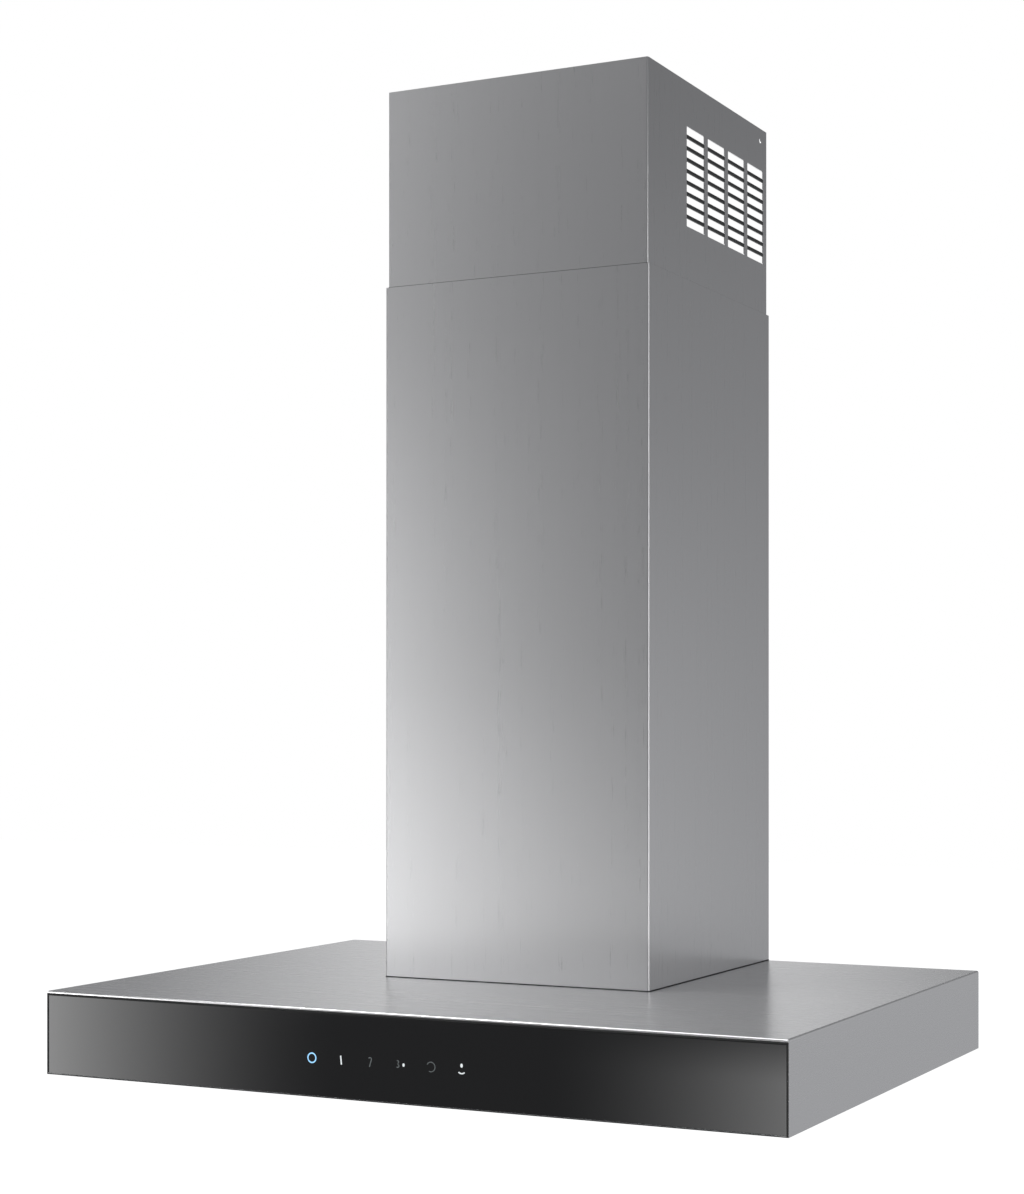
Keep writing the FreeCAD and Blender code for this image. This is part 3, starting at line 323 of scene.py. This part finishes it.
# stainless steel 430, brushed along each sheet: fine streaks, and highlights drawn out across them
# grains holds two directions, that of most faces and that of the end faces
def brushedSteel(name, hexColour, roughness, anisotropy, grains, depth=0.003):
    material, tree, place = newMaterial(name)
    ends = endFaces(tree)
    streaks = [grain(tree, place, stretch, brushing["streak"]) for stretch, axis in grains]
    bands = [grain(tree, place, stretch, brushing["band"], detail=2.0) for stretch, axis in grains]
    tangents = [addNode(tree, "ShaderNodeTangent",
                        {"direction_type": "RADIAL", "axis": axis}).outputs["Tangent"]
                for stretch, axis in grains]
    streak = addNode(tree, "ShaderNodeMix", links={0: ends, 2: streaks[0], 3: streaks[1]}).outputs[0]
    band = addNode(tree, "ShaderNodeMix", links={0: ends, 2: bands[0], 3: bands[1]}).outputs[0]
    tangent = addNode(tree, "ShaderNodeMix", {"data_type": "VECTOR"},
                      {0: ends, 4: tangents[0], 5: tangents[1]}).outputs[1]
    mixed = addNode(tree, "ShaderNodeMath", {"operation": "MULTIPLY_ADD", 1: brushing["bandShare"]},
                    {0: band, 2: streak})
    rough = addNode(tree, "ShaderNodeMapRange",
                    {"From Min": brushing["mixed"][0], "From Max": brushing["mixed"][1],
                     "To Min": roughness * (1 - brushing["uneven"]),
                     "To Max": roughness * (1 + brushing["uneven"])},
                    {"Value": mixed.outputs["Value"]})
    base = linear(hexColour)
    colour = addNode(tree, "ShaderNodeMix",
                     {"data_type": "RGBA", 6: shade(base, brushing["darkest"]), 7: base},
                     {0: mixed.outputs["Value"]})
    bump = addNode(tree, "ShaderNodeBump", {"Strength": depth, "Distance": brushing["scratch"]},
                   {"Height": streak})
    finishMaterial(tree, {"Metallic": 1.0, "Anisotropic": anisotropy},
                   {"Base Color": colour.outputs[2], "Roughness": rough.outputs["Result"],
                    "Normal": bump.outputs["Normal"], "Tangent": tangent})
    return material


glassFinish = {
    "colour": "#060607",
    "ior": 1.7,              # more than plain glass has, for a clearer mirror
    "smear": 60 * mm,        # breadth of the faint differences in gloss, which hands leave
    "smearRange": (0.3, 0.7),
    "roughness": (0.05, 0.09),
}


# toughened glass painted black on the back: deep black that mirrors the room
def blackGlass():
    material, tree, place = newMaterial("backPaintedGlass")
    smear = grain(tree, place, (1, 1, 1), glassFinish["smear"], detail=2.0)
    rough = addNode(tree, "ShaderNodeMapRange",
                    {"From Min": glassFinish["smearRange"][0], "From Max": glassFinish["smearRange"][1],
                     "To Min": glassFinish["roughness"][0], "To Max": glassFinish["roughness"][1]},
                    {"Value": smear})
    finishMaterial(tree, {"Base Color": linear(glassFinish["colour"]), "IOR": glassFinish["ior"]},
                   {"Roughness": rough.outputs["Result"]})
    return material


galvanising = {
    "spangle": 9 * mm,
    "dark": "#9da1a4",
    "light": "#bcc0c2",
    "roughness": (0.34, 0.5),
}


# hot-dip galvanised sheet: grey zinc with faint crystal spangles
def galvanisedSheet():
    material, tree, place = newMaterial("galvanisedSheet")
    cells = addNode(tree, "ShaderNodeTexVoronoi", {"Scale": 1 / galvanising["spangle"]},
                    {"Vector": place})
    grey = addNode(tree, "ShaderNodeRGBToBW", links={"Color": cells.outputs["Color"]})
    colour = addNode(tree, "ShaderNodeMix",
                     {"data_type": "RGBA", 6: linear(galvanising["dark"]),
                      7: linear(galvanising["light"])}, {0: grey.outputs["Val"]})
    rough = addNode(tree, "ShaderNodeMapRange",
                    {"To Min": galvanising["roughness"][0], "To Max": galvanising["roughness"][1]},
                    {"Value": grey.outputs["Val"]})
    finishMaterial(tree, {"Metallic": 1.0},
                   {"Base Color": colour.outputs[2], "Roughness": rough.outputs["Result"]})
    return material


moulding = {
    "ior": 1.5,
    "peaksOverShadedPits": 1.12,         # the texture's peaks against its pits, which are darker: painted shade in the pits
    "lift": 0.002,
    "uneven": 0.06,          # how far the roughness varies either way
    "bump": 0.15,
    "bumpDepth": 0.05 * mm,
}


# moulded plastic with a fine spark-eroded texture
def mouldedPlastic(name, hexColour, roughness, grit=0.6 * mm):
    material, tree, place = newMaterial(name)
    fine = grain(tree, place, (1, 1, 1), grit, detail=3.0)
    base = linear(hexColour)
    # colour darker where the texture is low: painted shade in its pits
    light = shade(base, moulding["peaksOverShadedPits"], moulding["lift"])
    colour = addNode(tree, "ShaderNodeMix", {"data_type": "RGBA", 6: base, 7: light}, {0: fine})
    rough = addNode(tree, "ShaderNodeMapRange",
                    {"To Min": roughness - moulding["uneven"], "To Max": roughness + moulding["uneven"]},
                    {"Value": fine})
    bump = addNode(tree, "ShaderNodeBump",
                   {"Strength": moulding["bump"], "Distance": moulding["bumpDepth"]}, {"Height": fine})
    finishMaterial(tree, {"IOR": moulding["ior"]},
                   {"Base Color": colour.outputs[2], "Roughness": rough.outputs["Result"],
                    "Normal": bump.outputs["Normal"]})
    return material


metalSheen = {
    "darkest": 0.86,
    "smoothest": 0.8,        # shares of the roughness
    "roughest": 1.25,
}


# cast, rolled or plated metal with a slightly uneven sheen
def plainMetal(name, hexColour, roughness, patch=4 * mm):
    material, tree, place = newMaterial(name)
    cloud = grain(tree, place, (1, 1, 1), patch, detail=5.0)
    base = linear(hexColour)
    colour = addNode(tree, "ShaderNodeMix",
                     {"data_type": "RGBA", 6: shade(base, metalSheen["darkest"]), 7: base}, {0: cloud})
    rough = addNode(tree, "ShaderNodeMapRange",
                    {"To Min": roughness * metalSheen["smoothest"],
                     "To Max": roughness * metalSheen["roughest"]}, {"Value": cloud})
    finishMaterial(tree, {"Metallic": 1.0},
                   {"Base Color": colour.outputs[2], "Roughness": rough.outputs["Result"]})
    return material


lensFinish = {
    "prism": 2.5 * mm,
    "bump": 0.3,
    "bumpDepth": 0.2 * mm,
    "colour": "#f2f1ea",
    "roughness": 0.35,
    "ior": 1.58,
    "milk": 0.3,             # share of the light that goes in and scatters
    "reach": 3 * mm,
    "glow": "#fff4dc",
    "glowStrength": 0.25,
}


# opal polycarbonate over the lamps: milky, with a little light of its own
def opalLens():
    material, tree, place = newMaterial("opalPolycarbonate")
    cells = addNode(tree, "ShaderNodeTexVoronoi", {"Scale": 1 / lensFinish["prism"]},
                    {"Vector": place})
    bump = addNode(tree, "ShaderNodeBump",
                   {"Strength": lensFinish["bump"], "Distance": lensFinish["bumpDepth"]},
                   {"Height": cells.outputs["Distance"]})
    finishMaterial(tree, {"Base Color": linear(lensFinish["colour"]),
                          "Roughness": lensFinish["roughness"], "IOR": lensFinish["ior"],
                          "Subsurface Weight": lensFinish["milk"],
                          "Subsurface Scale": lensFinish["reach"],
                          "Emission Color": linear(lensFinish["glow"]),
                          "Emission Strength": lensFinish["glowStrength"]},
                   {"Normal": bump.outputs["Normal"]})
    return material


printing = {
    "cloud": 2.5 * mm,
    "dimmest": 0.7,          # shares of the mark's strength
    "brightest": 1.3,
    "ink": "#202428",
    "roughness": 0.3,
}


# light from an LED through printed glass, a little uneven
def litPrint(name, hexColour, strength):
    material, tree, place = newMaterial(name)
    cloud = grain(tree, place, (1, 1, 1), printing["cloud"], detail=1.0)
    glow = addNode(tree, "ShaderNodeMapRange",
                   {"To Min": strength * printing["dimmest"], "To Max": strength * printing["brightest"]},
                   {"Value": cloud})
    finishMaterial(tree, {"Base Color": linear(printing["ink"]), "Roughness": printing["roughness"],
                          "Emission Color": linear(hexColour)},
                   {"Emission Strength": glow.outputs["Result"]})
    return material


board = {
    "grid": 8 * mm,
    "track": 0.06,
    "mask": ("#0e4a26", "#0b3f20"),
    "trackColour": "#1d6b3a",
    "roughness": 0.35,
    "ior": 1.5,
}


# glass-epoxy board: green solder mask, lighter where the copper tracks lie under it
def solderMask():
    material, tree, place = newMaterial("solderMaskBoard")
    tracks = addNode(tree, "ShaderNodeTexBrick",
                     {"Scale": 1 / board["grid"], "Mortar Size": board["track"],
                      "Color1": linear(board["mask"][0]), "Color2": linear(board["mask"][1]),
                      "Mortar": linear(board["trackColour"])}, {"Vector": place})
    finishMaterial(tree, {"Roughness": board["roughness"], "IOR": board["ior"]},
                   {"Base Color": tracks.outputs["Color"]})
    return material


chimneySteel = brushedSteel("chimneyBrushedSteel", "#e2e2e3", roughness=0.28, anisotropy=0.7,
                            grains=(alongZ, alongZ))
canopySteel = brushedSteel("canopyBrushedSteel", "#f0f0f1", roughness=0.27, anisotropy=0.75,
                           grains=(alongX, alongY))
filterSteel = brushedSteel("filterSatinSteel", "#c4c5c6", roughness=0.34, anisotropy=0.5,
                           grains=(alongY, alongY), depth=0.02)
glass = blackGlass()
zincSheet = galvanisedSheet()
greyPlastic = mouldedPlastic("greyAbs", "#6b6e70", roughness=0.5)
blackPlastic = mouldedPlastic("blackAbs", "#1a1b1c", roughness=0.45)
whitePlastic = mouldedPlastic("whiteNylon", "#dcdcd8", roughness=0.4)
rubberBlack = mouldedPlastic("epdmRubber", "#151515", roughness=0.75)
cableSheath = mouldedPlastic("pvcSheath", "#26272a", roughness=0.45)
foamTape = mouldedPlastic("foamTape", "#2a2a2a", roughness=0.9)
# this felt's black is painted shadow as well as felt: it draws the shade line at the chimney's sliding
# joint
shadowFeltFinish = mouldedPlastic("woolFeltShadow", "#101010", roughness=0.95, grit=0.3 * mm)
amberFilm = mouldedPlastic("polyimideFilm", "#a4661c", roughness=0.3)
aluminium = plainMetal("dieCastAluminium", "#c9cacc", roughness=0.38)
zincPlate = plainMetal("zincPlatedSteel", "#c2c5c6", roughness=0.28, patch=2 * mm)
satinChrome = plainMetal("satinChrome", "#d6d7d8", roughness=0.2, patch=6 * mm)
lamination = plainMetal("siliconSteelStack", "#5d5f62", roughness=0.5, patch=1 * mm)
opal = opalLens()
boardGreen = solderMask()
blueLight = litPrint("blueKeyLight", "#8fc7f0", strength=1.4)
whiteLight = litPrint("whiteKeyLight", "#e8eef0", strength=1.0)
dimPrint = litPrint("dimKeyPrint", "#8a9090", strength=0.35)

slotMaterials = {
    "stainless": chimneySteel, "canopy_steel": canopySteel, "black_glass": glass,
    "icon_print": whiteLight, "galvanised": zincSheet, "filter_steel": filterSteel,
    "aluminium": aluminium, "lamp_ring": satinChrome, "lamp_lens": opal,
    "grey_plastic": greyPlastic, "black_plastic": blackPlastic, "white_plastic": whitePlastic,
    "circuit_board": boardGreen, "tape": foamTape, "film": amberFilm, "motor_steel": zincPlate,
    "lamination": lamination, "rubber": rubberBlack, "cable": cableSheath,
    "screw_steel": zincPlate, "spring_steel": satinChrome,
}


def dressNodes():
    slotOf = {entry["node"]: entry["material_slot"] for entry in frame["record"]["subparts"]}
    for name, node in nodes.items():
        node.data.materials.clear()
        node.data.materials.append(slotMaterials[slotOf[name]])


dressNodes()
print("materials on", len(nodes), "nodes")

# marks printed on the glass and lit from behind: power, three speeds, timer and lamp
# a stroke is a line of points in millimetres right and up from its key's centre
keyPlan = {
    "pitch": 30.5 * mm,
    "ringR": 4.2,
    "lineWide": 1.1 * mm,
    "arcStep": 15,           # degrees between the points of an arc
    "joined": 0.01 * mm,     # a stroke whose ends are nearer than this is a ring
    "finishes": (blueLight, whiteLight, dimPrint),
}


def arcPoints(r, start, end, centre=(0, 0), squash=1.0):
    count = max(2, round(abs(end - start) / keyPlan["arcStep"]))
    angles = [math.radians(start + (end - start) * i / count) for i in range(count + 1)]
    return [(centre[0] + r * math.cos(a), centre[1] + r * squash * math.sin(a)) for a in angles]


# each key's strokes: points, share of the line's width, finish
def keyMarks():
    ringR = keyPlan["ringR"]
    blue, white, dim = range(len(keyPlan["finishes"]))
    return [
        [(arcPoints(ringR, 0, 360), 1.0, blue)],
        [([(-0.4, 3.8), (0.0, 0.0), (0.4, -4.0)], 1.15, white)],
        [(arcPoints(1.5, 150, -20, (-0.6, 2.6)) + [(0.0, -0.2), (-1.1, -4.0)], 0.85, dim)],
        [(arcPoints(1.1, 130, -90, (-2.9, 2.2)), 0.8, dim),
         (arcPoints(1.3, 90, -140, (-2.9, -1.3)), 0.8, dim),
         (arcPoints(0.55, 0, 360, (3.1, -0.2), 1.7), 1.0, white)],
        [(arcPoints(ringR, 150, -115), 0.7, dim)],
        [(arcPoints(0.6, 0, 360, (0.0, 3.2), 1.9), 1.1, white),
         (arcPoints(3.6, -145, -35, (0.0, -1.0), 0.75), 1.0, white)],
    ]


def addStroke(bm, points, wide, finish):
    closed = (points[0] - points[-1]).length < keyPlan["joined"]
    last = len(points) - 1
    rows = []
    for i, point in enumerate(points):
        before = points[last - 1 if closed and i == 0 else max(i - 1, 0)]
        after = points[1 if closed and i == last else min(i + 1, last)]
        along = (after - before).normalized()
        side = along.cross(Vector((0, 1, 0))) * wide / 2
        rows.append([bm.verts.new(point + side), bm.verts.new(point - side)])
    if closed:
        rows[-1] = rows[0]
    faces = [bm.faces.new((a[0], a[1], b[1], b[0])) for a, b in zip(rows, rows[1:])]
    for face in faces:
        face.material_index = finish


def makeKeyLights():
    low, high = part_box("key_icons")
    firstX = low.x + (keyPlan["ringR"] * mm + keyPlan["lineWide"] / 2)
    keyZ = (low.z + high.z) / 2
    bm = bmesh.new()
    for i, strokes in enumerate(keyMarks()):
        x = firstX + i * keyPlan["pitch"]
        for points, share, finish in strokes:
            placed = [Vector((x + right * mm, high.y, keyZ + up * mm)) for right, up in points]
            addStroke(bm, placed, keyPlan["lineWide"] * share, finish)
    loose = [vert for vert in bm.verts if not vert.link_faces]
    bmesh.ops.delete(bm, geom=loose, context="VERTS")
    thicken(bm, bm.faces[:], (0, low.y - high.y, 0))
    keyLights = addPiece("keyLights", bm, keyPlan["finishes"], "hood_body")
    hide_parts("key_icons")


makeKeyLights()
print("key marks made")


# strips that close the joints of the chimney: half, front and rear are where the cover that they
# follow ends, inner and outer their distances from its faces, and low and high their heights
lowerLow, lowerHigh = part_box("lower_chimney_cover")
upperLow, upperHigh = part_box("upper_chimney_cover")
strips = {
    "footSeal": {"half": lowerHigh.x, "front": lowerLow.y, "rear": lowerHigh.y - 0.5 * mm,
                 "inner": 0.0, "outer": 0.6 * mm, "low": lowerLow.z, "high": lowerLow.z + 0.9 * mm,
                 "finish": rubberBlack, "slot": "rubber"},
    # painted shadow: a felt strip that stands proud of the lower cover's top edge, so that its black
    # draws the shade line where the two covers meet
    "slideFeltShadow": {"half": upperHigh.x, "front": upperLow.y, "rear": upperHigh.y - 2 * mm,
                  "inner": 0.1 * mm, "outer": 0.9 * mm, "low": lowerHigh.z - 8 * mm,
                  "high": lowerHigh.z + 0.6 * mm, "finish": shadowFeltFinish, "slot": "rubber"},
}
coverFold = {
    "r": 2 * mm,
    "steps": 6,
}


def stripLine(plan, out):
    r, steps = coverFold["r"], coverFold["steps"]
    centreX, centreY = plan["half"] - r, plan["front"] + r
    angles = [math.pi / 2 * i / steps for i in range(steps + 1)]
    fold = [(centreX + (r + out) * math.cos(a), centreY - (r + out) * math.sin(a)) for a in angles]
    right = [(plan["half"] + out, plan["rear"])] + fold
    return right + [(-x, y) for x, y in reversed(right)]


def makeStrip(name):
    plan = strips[name]
    bm = bmesh.new()
    rows = [[bm.verts.new((x, y, plan["low"])) for x, y in stripLine(plan, plan[edge])]
            for edge in ("inner", "outer")]
    for i in range(len(rows[0]) - 1):
        bm.faces.new((rows[0][i], rows[0][i + 1], rows[1][i + 1], rows[1][i]))
    thicken(bm, bm.faces[:], (0, 0, plan["high"] - plan["low"]))
    addPiece(name, bm, [plan["finish"]], "hood_body")


for stripName in strips:
    makeStrip(stripName)


# black trim that covers the slot round the glass and the cut edges of the canopy beside it; partly a real
# gasket and partly painted shadow: its black draws the shade in the gap round the glass and covers the
# lit lip of steel above it
trimPlan = {
    "inset": 0.05 * mm,      # from the canopy's outer faces
    "proud": 0.12 * mm,      # of the canopy's front
    "thick": 0.14 * mm,
    "lip": 2.1 * mm,         # from the canopy's top to the trim, below the fold
}


def makeGlassTrimShade():
    glassLow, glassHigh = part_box("front_glass")
    shellLow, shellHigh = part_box("canopy_shell")
    y = shellLow.y - trimPlan["proud"]
    left, right = shellLow.x + trimPlan["inset"], shellHigh.x - trimPlan["inset"]
    bottom, top = shellLow.z + trimPlan["inset"], shellHigh.z - trimPlan["lip"]
    outer = [(left, bottom), (right, bottom), (right, top), (left, top)]
    inner = [(glassLow.x, glassLow.z), (glassHigh.x, glassLow.z),
             (glassHigh.x, glassHigh.z), (glassLow.x, glassHigh.z)]
    bm = bmesh.new()
    outerRow = [bm.verts.new((x, y, z)) for x, z in outer]
    innerRow = [bm.verts.new((x, y, z)) for x, z in inner]
    for i in range(len(outer)):
        j = (i + 1) % len(outer)
        bm.faces.new((outerRow[i], outerRow[j], innerRow[j], innerRow[i]))
    thicken(bm, bm.faces[:], (0, trimPlan["thick"], 0))
    # the trim's black is partly painted shadow, for the shade in the gap round the glass
    addPiece("glassTrimShade", bm, [rubberBlack], "hood_body")


makeGlassTrimShade()
print("strips and trim made")


# black fins clipped over the steel bars between the vent slots, whose places are the cover's own: painted
# shade, their black stands for the dark inside of the cover seen through the slots
shadeFinPlan = {
    "columns": 4,
    "rows": 9,
    "slotLong": 44 * mm,
    "slotTall": 8.4 * mm,
    "pitchY": 52.5 * mm,
    "pitchZ": 11.2 * mm,
    "fromRear": 9.5 * mm,
    "fromTop": 44 * mm,
    "sheet": 1 * mm,
    "proud": 0.08 * mm,      # thin enough to slide down into the lower cover
    "behind": 0.5 * mm,
    "lap": 0.3 * mm,         # the fin reaches this far into each slot
    "clear": 0.2 * mm,       # from each end of the slot
}


def addShadeFin(bm, side, y, z):
    web = (shadeFinPlan["pitchZ"] - shadeFinPlan["slotTall"]) / 2      # half the bar between two slots
    tall = web + shadeFinPlan["lap"]
    faceX = upperHigh.x
    backX = faceX - shadeFinPlan["sheet"]
    outX = faceX + shadeFinPlan["proud"]
    inX = backX - shadeFinPlan["behind"]
    outer = [(outX, tall), (inX, tall), (inX, -tall), (outX, -tall)]
    inner = [(faceX, web), (backX, web), (backX, -web), (faceX, -web)]
    start = y - shadeFinPlan["slotLong"] / 2 + shadeFinPlan["clear"]
    rows = [[bm.verts.new((side * x, start, z + up)) for x, up in loop] for loop in (outer, inner)]
    faces = [bm.faces.new((rows[0][i], rows[0][i - 1], rows[1][i - 1], rows[1][i]))
             for i in range(len(outer))]
    thicken(bm, faces, (0, shadeFinPlan["slotLong"] - 2 * shadeFinPlan["clear"], 0))


def makeShadeFins():
    bm = bmesh.new()
    firstY = upperHigh.y - shadeFinPlan["fromRear"] - shadeFinPlan["slotLong"] / 2
    firstZ = upperHigh.z - shadeFinPlan["fromTop"] - shadeFinPlan["slotTall"] / 2 - shadeFinPlan["pitchZ"] / 2
    for side in (-1, 1):
        for column in range(shadeFinPlan["columns"]):
            for row in range(shadeFinPlan["rows"] - 1):
                addShadeFin(bm, side, firstY - column * shadeFinPlan["pitchY"], firstZ - row * shadeFinPlan["pitchZ"])
    # the fins' black is painted shade for the dark inside seen between the slots
    addPiece("ventShadeFins", bm, [blackPlastic], "upper_cover")


makeShadeFins()
print("vent fins made")


# coil springs behind the filter latches; the real ones shorten as the latch is pulled back, these are
# made at one length
springPlan = {
    "wire": 0.5 * mm,
    "turns": 6,
    "endTurns": 1.0,         # closed turns at each end
    "stepsPerTurn": 24,
    "wireRounding": 3,
    "travel": 6 * mm,
}


def makeSpring(side):
    node = "latch_spring_" + side
    low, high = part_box(node)
    centre = (low + high) / 2
    wire = springPlan["wire"]
    r = (high.x - low.x) / 2 - wire / 2
    length = high.y - low.y - wire
    turns = springPlan["turns"] + 2 * springPlan["endTurns"]
    count = round(turns * springPlan["stepsPerTurn"])
    closed = springPlan["endTurns"]
    rise = length - 2 * closed * wire
    curve = bpy.data.curves.new(node + "Line", "CURVE")
    curve.dimensions = "3D"
    curve.bevel_depth = wire / 2
    curve.bevel_resolution = springPlan["wireRounding"]
    curve.use_fill_caps = True
    spline = curve.splines.new("POLY")
    spline.points.add(count)
    for i, point in enumerate(spline.points):
        turn = turns * i / count
        middle = min(max((turn - closed) / springPlan["turns"], 0), 1)
        along = wire * min(turn, closed) + rise * middle + wire * max(turn - turns + closed, 0)
        angle = 2 * math.pi * turn
        point.co = (centre.x + r * math.cos(angle), low.y + wire / 2 + along,
                    centre.z + r * math.sin(angle), 1)
    line = bpy.data.objects.new(node + "Line", curve)
    bm = bmesh.new()
    bm.from_mesh(line.to_mesh())
    line.to_mesh_clear()
    bpy.data.objects.remove(line)
    spring = addPiece("latchSpring" + side.capitalize(), bm, [satinChrome], side + "_filter")
    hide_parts(node)
    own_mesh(spring)


for filterSide in ("left", "right"):
    makeSpring(filterSide)
print("springs made")
